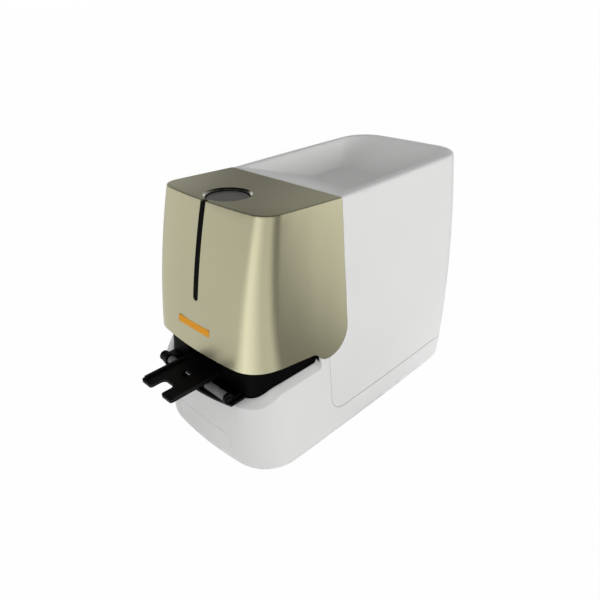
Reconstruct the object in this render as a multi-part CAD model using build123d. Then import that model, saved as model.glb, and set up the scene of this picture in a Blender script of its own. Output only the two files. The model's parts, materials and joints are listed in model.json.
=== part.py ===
from build123d import *
from math import atan2, cos, radians, sin
import os

# Phosphor plate scanner for dental imaging plates. Sizes are in millimetres.
# +Z is up, the tray side faces -Y and X = 0 is the plane of symmetry.
# The origin is on the table, under the middle of the overall length.

# Body, at the rim and downwards
rim_length = 260.0
rim_width = 132.1
body_height = 223.8
side_slope = 11.7
side_curve = 0.28
front_slope = 63.6
front_curve = 40.2
rear_slope = 23.3
rear_curve = 41.2
front_bulge = 4.8
front_bulge_growth = 3.6
side_bulge = 1.9
rear_bulge = 1.1
front_corner = 18.7
front_corner_growth = 20.8
rear_corner = 31.9
bottom_round = 12.0
wall = 2.5
seam = 0.4
foot_height = 1.5

# Gold cover
cover_rear = 52.3
top_rise = 0.055
cover_front_z = 105.8
cover_side_z = 100.8
cover_side_rear = 95.2
cover_low_z = 90.5
cover_low_front = 77.7
cover_corner = 22.0
slot_width = 6.4
slot_bottom = 149.6
slot_recess = 0.5
window_depth = 2.4
pipe_depth = 2.2
light_board_depth = 1.6
label_width = 41.0
label_height = 6.2
label_z = 127.2
label_x = -2.5
label_stand = 0.15
label_pocket = 0.8
trim_gap = 0.1
top_edge_round = 1.0
window_gap = 0.15
window_top_drop = 1.2
window_lap = 5.0
strip_top_drop = 14.0
strip_lap = 4.0
strip_steps = 8

# Start button in its dish
dish_from_front = 19.9
dish_radius = 19.6
ring_inner = 17.9
ring_depth = 2.4
ring_chamfer = 1.6
well_wall = 0.7
well_depth = 11.0
well_floor = 1.5
button_gap = 0.3
button_recess = 2.2
button_thick = 3.0
button_travel = 1.0
button_edge_round = 0.5
stem_radius = 4.0
stem_length = 1.5
actuator_radius = 1.7
actuator_length = 1.8
flange_thick = 1.5
flange_set_in = 0.3
switch_side = 10.0
switch_gap = 0.3

# Lip, recess and fascia
lip_front_z = 77.0
lip_side_z = 87.4
lip_rise_start = 154.5
lip_rise_end = 128.0
lip_turn = 3.0
lip_width = 6.6
lip_thick = 5.0
lip_slope_drop = 4.4
lip_slope_width = 6.0
fascia_gap = 0.4
fascia_wall = 2.2
fascia_lap = 3.0
fascia_top = 108.6
recess_rear = 86.2

# Bosses, screws and feet
boss_x = 50.0
boss_ys = (-78.0, 20.0, 116.0)
boss_radius = 5.0
boss_bore_depth = 12.0
screw_shank = 1.45
screw_length = 10.0
screw_hole = 1.7
screw_head_radius = 3.0
screw_head_high = 2.0
foot_x = 48.0
foot_ys = (-88.0, 112.0)
foot_radius = 8.0
foot_inset = 1.2

# Side seam of the rear cover
seam_z = 31.0
seam_front = 76.4
seam_corner = 15.0

# Drawer in the lower front
drawer_half = 38.0
drawer_top = 37.4
drawer_corner = 9.0
drawer_floor_z = 3.2
drawer_room = 3.2
panel_edge = 3.6
bin_half = 33.0
bin_depth = 88.0
bin_height = 24.0
bin_wall = 1.8
bin_gap = 0.4
runner_z = 9.0
runner_size = 2.0
runner_start = 6.0
rail_start = 8.0
rail_lap = 2.0
rail_wall = 2.0
rail_lid = 2.4

# Tray and its drive
tray_top = 88.6
tray_thick = 3.0
tray_half = 21.4
tray_overhang = 47.0
notch_width = 15.0
notch_depth = 13.4
tray_rib_width = 3.2
tray_rib_high = 1.2
tray_hole = 8.6
tray_hole_from_tip = 29.0
tray_rib_start = 3.0
tray_rib_end = 62.0
notch_corner = 4.0
tip_corner = 2.2
catch_depth = 1.6
catch_thick = 1.0
catch_gap = 1.0
catch_length = 2.6
tray_travel = 55.0
mouth_gap = 1.6
mouth_height = 12.0
block_half = 38.0
block_length = 20.0
block_bottom = 60.0
block_set_back = 35.0
rod_radius = 3.0
rod_spacing = 60.0
rod_z = 72.0
bush_radius = 5.0
screw_radius = 3.0
nut_radius = 7.0
nut_flange = 4.0
nut_flange_thick = 3.0
bearing_radius = 6.0
drive_front_gap = 3.0
drive_rear_gap = 8.0
screw_overhang = 8.0
screw_passage = 8.0
tray_clearance = 2.0
cable_window_half = 30.0
cable_window_z = (96.0, 120.0)
motor_half = 17.6
motor_length = 28.0
motor_corner = 3.0
motor_bore_depth = 10.0
fit_gap = 0.05
running_gap = 0.3
cut_over = 1.0

# Roller bracket
roller_radius = 3.7
roller_inner = 17.0
roller_length = 26.0
axle_radius = 1.5
axle_set_back = 8.2
bracket_half = 50.8
bracket_thick = 2.2
bracket_reach = 10.2
bracket_bow = 6.6
trough_gap = 0.4
ear_gap = 0.8
ear_thick = 2.6
left_ear_extra = 6.6
ear_margin = 0.9
cap_radius = 2.6
cap_thick = 1.4
bracket_seat = 12.0
bracket_block_gap = 1.2
bracket_block_set_in = 2.0
bracket_block_front = 6.0
roller_chamfer = 0.4

# Chassis
chassis_z = 36.0
chassis_thick = 2.0
chassis_half = 60.0
chassis_front = -92.0
chassis_rear = 149.5
side_plate_x = 56.0
side_plate_thick = 2.0
side_plate_rear = 45.0
side_window_z = (96.0, 118.0)
side_window_front = 30.0
side_window_rear = 25.0
chassis_corner = 28.0
optics_z = 128.0
optics_thick = 5.0
optics_behind_polygon = 28.0
optics_half = 58.0
optics_set_back = 8.0
bulkhead_thick = 3.0

# Optics, on the plate above the tray's path
slit_from_wall = 33.4
slit_half_length = 42.0
slit_half_width = 4.0
pmt_from_slit = 26.0
pmt_radius = 12.0
pmt_length = 48.0
pmt_window_half = 14.0
shield_wall = 2.0
shield_gap = 0.3
shield_lid = 4.0
shield_foot = 5.0
shield_foot_thick = 3.0
guide_slit_width = 44.0
guide_slit_thick = 3.0
guide_lift = 7.0
guide_set_back = 12.0
guide_top_width = 24.0
guide_top_depth = 20.0
beam_height = 12.0
laser_x = -40.0
laser_radius = 6.0
laser_length = 28.0
laser_bore = 3.0
laser_bore_depth = 4.0
holder_length = 20.0
holder_half = 11.0
holder_lid = 9.0
polygon_x = 10.0
polygon_from_slit = 88.0
polygon_radius = 15.0
polygon_thick = 7.0
polygon_gap = 0.4
polygon_shaft = 2.0
polygon_motor_radius = 14.0
polygon_motor_high = 8.0
polygon_bore_floor = 2.0
lens_half = 24.0
lens_bow = 6.0
lens_thick = 4.0
lens_high = 20.0
lens_ahead = 30.0
mirror_length = 96.0
mirror_width = 22.0
mirror_thick = 3.0
mirror_holder_gap = 0.2
mirror_holder_thick = 3.8
mirror_holder_half = 9.0
lamp_half = 24.0
lamp_start = 8.0
lamp_width = 12.0
lamp_thick = 6.0
lamp_count = 6
lamp_pitch = 8.0
lamp_bead_radius = 2.0
lamp_bead_sink = 0.1
lamp_bead_high = 1.4

# Rear panel and what it holds
panel_half = 46.0
panel_high = 154.0
panel_thick = 1.5
tunnel_half = 43.0
tunnel_low = 46.5
tunnel_high = 151.0
tunnel_wall = 2.0
fan_size = 60.0
fan_depth = 15.0
fan_z = 116.0
fan_bore = 28.2
fan_hub = 15.5
fan_corner = 3.0
fan_arm_width = 3.0
fan_arm_thick = 2.4
fan_shaft = 1.5
fan_blades = 7
fan_blade_length = 12.4
fan_blade_root = 0.9
fan_blade_thick = 1.2
fan_blade_chord = 13.0
fan_blade_pitch = 35.0
fan_end_gap = 0.4
fan_guard_gap = 1.0
guard_radii = (8.0, 15.0, 22.0, 29.5)
guard_wire = 0.8
guard_arm_reach = 34.0
connector_stand = 0.6
connector_front = 131.0
connector_high = 11.0
usb_x = 8.0
usb_half = 6.0
usb_wall = 1.7
usb_lip = 1.4
usb_depth = 9.0
inlet_x = 34.0
inlet_half = 5.0
inlet_bore = 3.2
inlet_axis = 5.8
inlet_pin = 1.0
inlet_pin_set_in = 1.5
rocker_x = -22.0
rocker_z = 60.0
switch_half_width = 6.5
switch_half_height = 9.5
switch_depth = 16.0
switch_rim = 1.0
switch_rim_thick = 1.5
switch_well_half_width = 4.6
switch_well_half_height = 7.6
switch_well_depth = 7.0
rocker_half = 4.3
rocker_face = 2.6
rocker_dip = 1.2
rocker_back = 1.5
rocker_reach = 6.9
rocker_root = 6.4
rocker_pin = 0.95
rocker_pin_half = 5.55
rocker_rest = 8.0

# Boards
board_z = 46.0
board_thick = 1.6
board_x = (-30.0, 52.0)
board_y = (50.0, 138.0)
board_hole = 1.2
standoff_radius = 2.5
standoff_xs = (-26.0, 48.0)
standoff_ys = (56.0, 128.0)
sink_x = 8.0
sink_y = 80.0
sink_side = 22.0
sink_base = 3.0
sink_high = 11.0
sink_fins = 6
sink_fin = 1.5
sink_pitch = 4.1
chip_high = 1.2
frame_x = -52.0
frame_thick = 1.5
frame_foot = 10.0
frame_y = (56.0, 108.0)
frame_top = 112.0
power_gap = 6.0
power_standoff_ys = (60.0, 104.0)
power_standoff_zs = (54.0, 106.0)
power_z = (50.0, 110.0)

# Top basin
basin_front_lap = 1.0
rim_top_lap = 0.5
tray_rim = 6.5
slab = 3.2
rim_round = 3.0
basin_floor_z = 202.0
basin_floor_half = 39.0
basin_floor_front = 25.0
basin_floor_rear = 67.0
basin_floor_corner = 9.0
basin_foot_blend = 0.14
basin_rim_blend = 0.10
basin_steps = 4
basin_front_corner = 5.0
basin_rear_corner = 26.0

# Places that follow from the sizes above
rear_swell = rear_slope**2 / (4 * rear_curve)
rear_reach = rim_length / 2 + rear_swell + rear_bulge


def fall(z):
    # How far down the body a height lies, from 0 at the rim to 1 on the table
    return (body_height - z) / body_height


def half_width(z):
    return rim_width / 2 + side_slope * fall(z) - side_curve * fall(z) ** 2


def front_reach(z):
    return rim_length / 2 + front_slope * fall(z) - front_curve * fall(z) ** 2


def crown(z):
    return front_bulge + front_bulge_growth * fall(z)


tray_reach = front_reach(tray_top) + tray_overhang
rim_y = (tray_reach - rear_reach) / 2


def front_y(z):
    return rim_y - front_reach(z)


def rear_y(z):
    return rim_y + rim_length / 2 + rear_slope * fall(z) - rear_curve * fall(z) ** 2


def nose_y(z):
    # Foremost point of the front face at a height
    return front_y(z) - crown(z)


cover_y = rim_y - cover_rear


def top_z(y):
    # The gold cover's top rises towards the front
    return body_height + top_rise * (cover_y - y)


section_heights = (foot_height, 25.0, 60.0, 95.0, 130.0, 165.0, 200.0, 236.0)


def outline(z, inset=0.0):
    # One level section of the body: four bowed sides with rounded corners
    w = half_width(z) - inset
    f = front_y(z) + inset
    r = rear_y(z) - inset
    middle = (f + r) / 2
    sides = [
        ThreePointArc((-w, f), (0, f - crown(z)), (w, f)),
        ThreePointArc((w, f), (w + side_bulge, middle), (w, r)),
        ThreePointArc((w, r), (0, r + rear_bulge), (-w, r)),
        ThreePointArc((-w, r), (-w - side_bulge, middle), (-w, f)),
    ]
    face = make_face(sides)
    corners = face.vertices().sort_by(Axis.Y)
    face = fillet(corners[:2], front_corner + front_corner_growth * fall(z) - inset)
    corners = face.vertices().sort_by(Axis.Y)[-2:]
    face = fillet(corners, rear_corner - inset)
    return Pos(0, 0, z) * face


def hull(inset=0.0, bottom=foot_height):
    # The whole body as one solid, drawn in by an inset
    heights = [z for z in section_heights if z > bottom + 5]
    solid = loft([outline(z, inset) for z in [bottom] + heights])
    floor = solid.faces().sort_by(Axis.Z)[0]
    return fillet(floor.edges(), max(bottom_round - inset, 1.0))


def box(x0, x1, y0, y1, z0, z1):
    return Pos((x0 + x1) / 2, (y0 + y1) / 2, (z0 + z1) / 2) * Box(x1 - x0, y1 - y0, z1 - z0)


def rod_x(x0, x1, y, z, r):
    return Pos((x0 + x1) / 2, y, z) * Rot(0, 90, 0) * Cylinder(r, x1 - x0)


def rod_y(x, y0, y1, z, r):
    return Pos(x, (y0 + y1) / 2, z) * Rot(90, 0, 0) * Cylinder(r, y1 - y0)


def rod_up(x, y, z0, z1, r):
    return Pos(x, y, (z0 + z1) / 2) * Cylinder(r, z1 - z0)


def side_prism(face, half=100.0):
    # A face drawn in (Y, Z) and extruded across the body
    return extrude(Plane.YZ * face, half, both=True)


def closed(points):
    return make_face(Polyline(*points, close=True))


def group(parts):
    return Compound(children=[p.solid() for p in parts])


def write(name, shape):
    export_step(shape, os.path.join("parts", name + ".step"))
    print(name, len(shape.solids()), round(shape.volume, 1))


# Regions that cut the body into its covers, drawn in (Y, Z)
far = 260.0


def cover_face():
    # Straight sides over the recess, then a double bend down to the low rear corner
    low_front = rim_y - cover_low_front
    side_rear = rim_y - cover_side_rear
    side_start = front_y(cover_front_z) + front_corner
    edge = Polyline(
        (cover_y, cover_low_z + cover_corner),
        (cover_y, top_z(cover_y)),
        (-far, top_z(-far)),
        (-far, cover_front_z),
        (side_start, cover_front_z),
        (side_rear, cover_side_z),
    )
    along_side = (side_rear - side_start, cover_side_z - cover_front_z)
    bend = Spline((side_rear, cover_side_z), (low_front, cover_low_z), tangents=[along_side, (1, 0)])
    low = Line((low_front, cover_low_z), (cover_y - cover_corner, cover_low_z))
    turn = cover_corner * (1 - cos(radians(45)))
    corner = ThreePointArc(
        (cover_y - cover_corner, cover_low_z),
        (cover_y - turn, cover_low_z + turn),
        (cover_y, cover_low_z + cover_corner),
    )
    return make_face([*edge.edges(), bend, low, corner])


def lip_line(rear):
    # Top line of the white lip: low in front, rising to the sides
    low = rim_y - lip_rise_start
    high = rim_y - lip_rise_end
    front = Line((-far, lip_front_z), (low, lip_front_z))
    rise = Spline(
        (low, lip_front_z),
        (high, lip_side_z),
        tangents=[(1, 0), (1, 0)],
    )
    return [front, rise, Line((high, lip_side_z), (rear, lip_side_z))]


def base_face():
    seam_y = rim_y - seam_front
    end = rim_y - recess_rear
    turn = seam_corner * (1 - cos(radians(45)))
    lines = lip_line(end)
    rest = [
        Line((end, lip_side_z), (end, fascia_top)),
        Line((end, fascia_top), (seam_y, fascia_top)),
        Line((seam_y, fascia_top), (seam_y, seam_z + seam_corner)),
        ThreePointArc(
            (seam_y, seam_z + seam_corner),
            (seam_y + turn, seam_z + turn),
            (seam_y + seam_corner, seam_z),
        ),
        Line((seam_y + seam_corner, seam_z), (far, seam_z)),
        Line((far, seam_z), (far, 0)),
        Line((far, 0), (-far, 0)),
        Line((-far, 0), (-far, lip_front_z)),
    ]
    return make_face([*lines, *rest])


def rear_face():
    top = body_height - slab
    start = rim_y - seam_front - seam
    whole = closed([(start, seam_z), (far, seam_z), (far, top), (start, top)])
    shifted = Pos(0, seam) * base_face() + Pos(seam, 0) * base_face()
    return whole - Pos(seam, 0) * cover_face() - shifted - base_face() - Pos(0, -seam) * cover_face()


# Covers
def front_cover(outer, inner):
    under_top = [(-far, top_z(-far) - wall), (far, top_z(far) - wall), (far, 0), (-far, 0)]
    shell = outer & side_prism(cover_face())
    rim = shell.edges().filter_by_position(Axis.Z, body_height - 0.5, top_z(-far))
    rim = [e for e in rim if e.center().Y < cover_y - 1]
    shell = fillet(rim, top_edge_round)
    shell -= inner & side_prism(closed(under_top))
    shell -= slot_cut(slot_width / 2)
    shell -= dish_cut(dish_radius + trim_gap, wall * 3)
    shell -= label_solid(trim_gap, label_pocket + fit_gap, wall * 2)
    return shell


def front_strip(depth_in, depth_out, z0, z1):
    # A strip that follows the front face, between two depths under it
    heights = [z0 + (z1 - z0) * i / strip_steps for i in range(strip_steps + 1)]
    outside = Spline(*[(nose_y(z) + depth_out, z) for z in heights])
    inside = Spline(*[(nose_y(z) + depth_in, z) for z in heights])
    ends = [Line(outside @ 1, inside @ 1), Line(inside @ 0, outside @ 0)]
    return make_face([outside, inside, *ends])


def slot_column(half, z0, z1):
    # Upright column with a round lower end, seen from the front
    column = Rectangle(2 * half, z1 - z0 - half, align=(Align.CENTER, Align.MIN))
    face = Pos(0, z0 + half) * column + Pos(0, z0 + half) * Circle(half)
    return extrude(Plane.XZ * face, far, both=True)


dish_y = front_y(body_height) + dish_from_front


def slot_cut(half):
    front_only = box(-half - 1, half + 1, -far, dish_y, 0, 2 * far)
    return slot_column(half, slot_bottom, top_z(-far)) & front_only


def dish_frame(depth):
    # Upward-facing plane at a depth under the sloping top, centred in the dish
    tilt = atan2(top_rise, 1)
    centre = (0, dish_y, top_z(dish_y))
    top = Plane(origin=centre, x_dir=(1, 0, 0), z_dir=(0, sin(tilt), cos(tilt)))
    return top.offset(-depth)


def disc(radius, depth_top, depth_bottom):
    return extrude(dish_frame(depth_bottom) * Circle(radius), depth_bottom - depth_top)


def dish_cut(radius, depth):
    return disc(radius, -5.0, depth)


def label_solid(margin, depth, stand):
    half = label_width / 2 + margin
    low = label_z - label_height / 2 - margin
    high = label_z + label_height / 2 + margin
    strip = front_strip(depth, -stand, low, high)
    return extrude(Plane.YZ * strip, half, both=True).moved(Location((label_x, 0, 0)))


def slot_window():
    high = top_z(front_y(body_height)) - window_top_drop
    strip = front_strip(slot_recess + window_depth, slot_recess, slot_bottom - window_lap, high)
    column = slot_column(slot_width / 2 - window_gap, slot_bottom + window_gap, far)
    return side_prism(strip, slot_width) & column


def light_strip(depth_in, depth_out, half):
    high = top_z(front_y(body_height)) - strip_top_drop
    return side_prism(front_strip(depth_in, depth_out, slot_bottom - strip_lap, high), half)


def light_pipe():
    start = slot_recess + window_depth + fit_gap
    return light_strip(start + pipe_depth, start, slot_width)


def light_board():
    start = slot_recess + window_depth + pipe_depth + 2 * fit_gap
    return light_strip(start + light_board_depth, start, slot_width + 2)


def button_ring():
    ring = disc(dish_radius, 0, ring_depth) - disc(ring_inner, -cut_over, ring_depth + cut_over)
    inner_edge = [e for e in ring.edges().filter_by(GeomType.CIRCLE) if abs(e.radius - ring_inner) < fit_gap]
    inner_edge = [e for e in inner_edge if e.center().Z > top_z(dish_y) - ring_depth / 2]
    ring = chamfer(inner_edge, ring_chamfer)
    return ring - slot_cut(slot_width / 2) if ring_breaks() else ring


def ring_breaks():
    # True where the dish runs out over the front, so that the slot cuts the ring
    return dish_y - dish_radius < nose_y(body_height)


def well_bore():
    return ring_inner - trim_gap - well_wall


def button_well():
    bore = well_bore()
    rim = dish_radius - flange_set_in
    start = ring_depth + trim_gap
    tube = disc(ring_inner - trim_gap, ring_chamfer + trim_gap, well_depth) - disc(bore, 0, well_depth)
    flange = disc(rim, start, start + flange_thick) - disc(bore, 0, well_depth)
    return tube + flange + disc(rim, well_depth, well_depth + well_floor)


def start_button():
    low = button_recess + button_thick
    cap = disc(well_bore() - button_gap, button_recess, low)
    upper = [e for e in cap.edges() if e.center().Z > top_z(dish_y) - button_recess - button_thick / 2]
    return fillet(upper, button_edge_round) + disc(stem_radius, low, low + stem_length)


stem_end = button_recess + button_thick + stem_length


def switch_actuator():
    return disc(actuator_radius, stem_end, stem_end + actuator_length)


def button_switch():
    top = stem_end + button_travel + switch_gap
    body = extrude(dish_frame(well_depth) * Rectangle(switch_side, switch_side), well_depth - top)
    return body - disc(actuator_radius + running_gap, 0, well_depth)


# Lower housing
def base_shell(outer, inner, lip_inner):
    tub = outer & side_prism(base_face() - Pos(0, -seam) * cover_face() - cover_face())
    tub = chamfer(lip_edges(tub), lip_slope_drop, lip_slope_width)
    tub = fillet(recess_corners(tub), lip_turn)
    tub -= inner & side_prism(Pos(0, -lip_thick) * base_face())
    tub -= lip_inner
    for x, y in boss_places():
        tub += rod_up(x, y, foot_height + wall, chassis_z, boss_radius)
        tub -= rod_up(x, y, chassis_z - boss_bore_depth, chassis_z, screw_shank + fit_gap)
    tub -= drawer_prism(seam, front_plane() + drawer_room)
    for x, y in foot_places():
        tub -= rod_up(x, y, 0, foot_height + foot_inset, foot_radius + trim_gap)
    return tub


def lip_edges(shell):
    # Outer edge of the lip, in front and along both sides
    near = 0.2
    end = rim_y - recess_rear
    edges = shell.edges().filter_by(GeomType.BSPLINE)
    edges = [e for e in edges if lip_front_z - near < e.center().Z < lip_side_z + near]
    edges = [e for e in edges if e.center().Y < end - near]
    return [e for e in edges if e.bounding_box().size.X + abs(e.center().X) > 1]


def recess_corners(shell):
    # Inner corners where the lip and its slope meet the recess's end wall
    near = 0.2
    end = rim_y - recess_rear
    low = lip_side_z - lip_slope_drop - near
    edges = [e for e in shell.edges() if abs(e.center().Y - end) < near and e.bounding_box().size.Y < near]
    edges = [e for e in edges if low < e.center().Z < lip_side_z + near]
    return [e for e in edges if e.bounding_box().size.X > 1]


def boss_places():
    return [(x, y) for x in (-boss_x, boss_x) for y in boss_ys]


def foot_places():
    return [(x, y) for x in (-foot_x, foot_x) for y in foot_ys]


def drawer_prism(margin, back):
    # The drawer's outline, wider by a margin, from the front to a flat back
    half = drawer_half + margin
    low = drawer_floor_z - margin
    high = drawer_top + margin
    face = closed([(-half, low), (half, low), (half, high), (-half, high)])
    top = face.vertices().sort_by(Axis.Y)[-2:]
    face = fillet(top, drawer_corner + margin)
    return extrude(Plane.XZ * face, far) & box(-far, far, -far, back, 0, far)


def front_plane():
    # Flat back of the drawer's front panel
    return front_y(drawer_top) + panel_edge


def drawer_front(outer):
    return outer & drawer_prism(0, front_plane())


def drawer_box():
    y0 = front_plane()
    y1 = y0 + bin_depth
    z0 = base_floor() + bin_gap
    top = z0 + bin_height
    room = bin_half - bin_wall
    tub = box(-bin_half, bin_half, y0, y1, z0, top)
    tub -= box(-room, room, y0 + bin_wall, y1 - bin_wall, z0 + bin_wall, top + cut_over)
    for side in (-1, 1):
        x0, x1 = sorted((side * bin_half, side * (bin_half + runner_size)))
        tub += box(x0, x1, y0 + runner_start, y1, z0 + runner_z, z0 + runner_z + runner_size)
    return tub


def base_floor():
    return foot_height + wall


def drawer_rails():
    y0 = front_plane() + rail_start
    y1 = front_plane() + bin_depth + rail_lap
    z0 = base_floor() + bin_gap + runner_z
    z1 = z0 + runner_size
    rails = []
    for side in (-1, 1):
        inner_x = bin_half + bin_gap
        outer_x = bin_half + runner_size + bin_gap + rail_wall
        x0, x1 = sorted((side * inner_x, side * outer_x))
        g0, g1 = sorted((side * (inner_x - cut_over), side * (outer_x - rail_wall)))
        rail = box(x0, x1, y0, y1, base_floor(), z1 + rail_lid)
        rail -= box(g0, g1, y0 - cut_over, y1 - cut_over, z0 - bin_gap, z1 + bin_gap)
        rails.append(rail)
    return rails


# Recess behind the tray
def recess_prism(low_shift, top, rear):
    lines = [Pos(0, low_shift) * line for line in lip_line(rear)]
    start = lines[0] @ 0
    low = lip_side_z + low_shift
    rest = Polyline((rear, low), (rear, top), (start.X, top), (start.X, start.Y))
    return side_prism(make_face([*lines, *rest.edges()]))


def fascia(skin, back):
    end = rim_y - recess_rear - fascia_gap
    half = tray_half + mouth_gap
    wall_part = (skin - back) & recess_prism(-lip_thick - fascia_lap, fascia_top, end)
    return wall_part - box(-half, half, -far, 0, tray_bottom() - mouth_gap, tray_top + mouth_height)


def tray_bottom():
    return tray_top - tray_thick


# Tray that carries the imaging plate
tray_tip = rim_y - tray_reach
block_front = front_y(tray_top) + block_set_back


def plate_tray():
    rear = block_front + block_length
    body = box(-tray_half, tray_half, tray_tip, rear, tray_bottom(), tray_top)
    notch = Pos(0, tray_tip + (notch_depth - cut_over) / 2) * Rectangle(notch_width, notch_depth + cut_over)
    notch = fillet(notch.vertices().sort_by(Axis.Y)[-2:], notch_corner)
    body -= Pos(0, 0, tray_bottom() - cut_over) * extrude(notch, tray_thick + 2 * cut_over)
    corners = [e for e in body.edges().filter_by(Axis.Z) if e.center().Y < tray_tip + cut_over]
    body = fillet(corners, tip_corner)
    hole_y = tray_tip + tray_hole_from_tip
    half = tray_hole / 2
    body -= box(-half, half, hole_y - half, hole_y + half, 0, far)
    for side in (-1, 1):
        x0, x1 = sorted((side * tray_half, side * (tray_half - tray_rib_width)))
        top = tray_top + tray_rib_high
        body += box(x0, x1, tray_tip + tray_rib_start, tray_tip + tray_rib_end, tray_top, top)
    return body


def tray_catch():
    hole_y = tray_tip + tray_hole_from_tip
    z = tray_top - catch_depth
    half = tray_hole / 2
    rear = hole_y + half
    return box(-half + catch_gap, half - catch_gap, rear - catch_length, rear, z, z + catch_thick)


def carriage_block():
    y0 = block_front
    y1 = y0 + block_length
    block = box(-block_half, block_half, y0, y1, block_bottom, tray_bottom())
    for x in rod_places():
        block -= rod_y(x, y0 - cut_over, y1 + cut_over, rod_z, bush_radius)
    return block - rod_y(0, y0 - cut_over, y1 + cut_over, rod_z, nut_radius)


def rod_places():
    return (-rod_spacing / 2, rod_spacing / 2)


def carriage_bushes():
    y0 = block_front
    y1 = y0 + block_length
    rings = []
    for x in rod_places():
        bore = rod_y(x, y0 - cut_over, y1 + cut_over, rod_z, rod_radius + fit_gap)
        rings.append(rod_y(x, y0, y1, rod_z, bush_radius) - bore)
    return rings


def carriage_nut():
    y0 = block_front
    y1 = y0 + block_length
    y2 = y1 + nut_flange_thick
    nut = rod_y(0, y0, y1, rod_z, nut_radius) + rod_y(0, y1, y2, rod_z, nut_radius + nut_flange)
    return nut - rod_y(0, y0 - cut_over, y2 + cut_over, rod_z, screw_radius + fit_gap)


rod_front = block_front - bulkhead_thick - drive_front_gap
rear_wall_y = block_front + block_length + tray_travel + drive_rear_gap


def guide_rods():
    end = rear_wall_y + bulkhead_thick
    return [rod_y(x, rod_front, end, rod_z, rod_radius) for x in rod_places()]


def lead_screw():
    return rod_y(0, rod_front, rear_wall_y + bulkhead_thick + screw_overhang, rod_z, screw_radius)


def screw_bearing():
    y1 = rod_front + bulkhead_thick
    ring = rod_y(0, rod_front, y1, rod_z, bearing_radius)
    return ring - rod_y(0, rod_front - cut_over, y1 + cut_over, rod_z, screw_radius + fit_gap)


def bulkhead(y0, y1, top):
    plate = box(-side_plate_x, side_plate_x, y0, y1, chassis_top(), top)
    for x in rod_places():
        plate -= rod_y(x, y0 - cut_over, y1 + cut_over, rod_z, rod_radius)
    return plate


def chassis_top():
    return chassis_z + chassis_thick


def front_bulkhead():
    y1 = rod_front + bulkhead_thick
    plate = bulkhead(rod_front, y1, tray_bottom() - tray_clearance)
    return plate - rod_y(0, rod_front - cut_over, y1 + cut_over, rod_z, bearing_radius)


def rear_bulkhead():
    y0 = rear_wall_y - cut_over
    y1 = rear_wall_y + bulkhead_thick
    low, high = cable_window_z
    plate = bulkhead(rear_wall_y, y1, optics_z)
    plate -= rod_y(0, y0, y1 + cut_over, rod_z, screw_passage)
    return plate - box(-cable_window_half, cable_window_half, y0, y1 + cut_over, low, high)


def transport_motor():
    y0 = rear_wall_y + bulkhead_thick
    low = rod_z - motor_half
    can = box(-motor_half, motor_half, y0, y0 + motor_length, low, low + 2 * motor_half)
    can = chamfer(can.edges().filter_by(Axis.Y), motor_corner)
    return can - rod_y(0, y0 - cut_over, y0 + motor_bore_depth, rod_z, screw_radius + fit_gap)


# Rollers in front of the recess
axle_z = tray_bottom() - running_gap - roller_radius
bracket_front = nose_y(lip_front_z) - bracket_reach
axle_y = bracket_front + axle_set_back
ear_inner = roller_inner + roller_length + ear_gap
ear_outer = ear_inner + ear_thick
ear_radius = roller_radius + ear_margin
bracket_z = lip_front_z + running_gap


def bracket_plate(rear):
    # Plate on the lip, bowed towards the front
    side_y = bracket_front + bracket_bow
    half = bracket_half
    front = ThreePointArc((-half, side_y), (0, bracket_front), (half, side_y))
    rest = Polyline((half, side_y), (half, rear), (-half, rear), (-half, side_y))
    return Pos(0, 0, bracket_z) * extrude(make_face([*front.edges(), *rest.edges()]), bracket_thick)


def ear_face(side):
    # Where the inner face of an ear stands; the left ear is the wider one
    return ear_inner - left_ear_extra if side < 0 else ear_inner


def roller_bracket(skin):
    # The plate with two ears, troughs under the rollers and a middle block, all clear of the rising lip
    rear = nose_y(bracket_z) + lip_width + bracket_seat
    plate = bracket_plate(rear)
    for side in (-1, 1):
        x0, x1 = sorted((side * ear_face(side), side * ear_outer))
        ear = rod_x(x0, x1, axle_y, axle_z, ear_radius)
        ear += box(x0, x1, axle_y, rear, axle_z - ear_radius, axle_z)
        ear &= box(x0, x1, -far, rear, bracket_z, far)
        plate += ear - rod_x(x0 - cut_over, x1 + cut_over, axle_y, axle_z, axle_radius)
        roller_end = ear_face(side) - trough_gap / 2
        t0, t1 = sorted((side * (roller_inner - trough_gap), side * roller_end))
        plate -= rod_x(t0, t1, axle_y, axle_z, roller_radius + trough_gap)
        c0, c1 = sorted((side * ear_outer, side * (bracket_half + cut_over)))
        plate -= rod_x(c0, c1, axle_y, axle_z, cap_radius + trough_gap)
    half = roller_inner - bracket_block_set_in
    low = bracket_z + bracket_thick / 2
    top = tray_bottom() - bracket_block_gap
    plate += box(-half, half, bracket_front + bracket_block_front, rear, low, top)
    plate -= rod_x(-ear_outer, ear_outer, axle_y, axle_z, axle_radius)
    plate &= recess_prism(running_gap, fascia_top, rim_y - recess_rear)
    return plate - skin


def roller_axle():
    return rod_x(-ear_outer, ear_outer, axle_y, axle_z, axle_radius)


def roller(side):
    x0, x1 = sorted((side * roller_inner, side * (ear_face(side) - ear_gap)))
    body = rod_x(x0, x1, axle_y, axle_z, roller_radius)
    body = chamfer(body.edges().filter_by(GeomType.CIRCLE), roller_chamfer)
    return body - rod_x(x0 - cut_over, x1 + cut_over, axle_y, axle_z, axle_radius + fit_gap)


def axle_caps():
    caps = []
    for side in (-1, 1):
        x0, x1 = sorted((side * ear_outer, side * (ear_outer + cap_thick)))
        caps.append(rod_x(x0, x1, axle_y, axle_z, cap_radius))
    return caps


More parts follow.
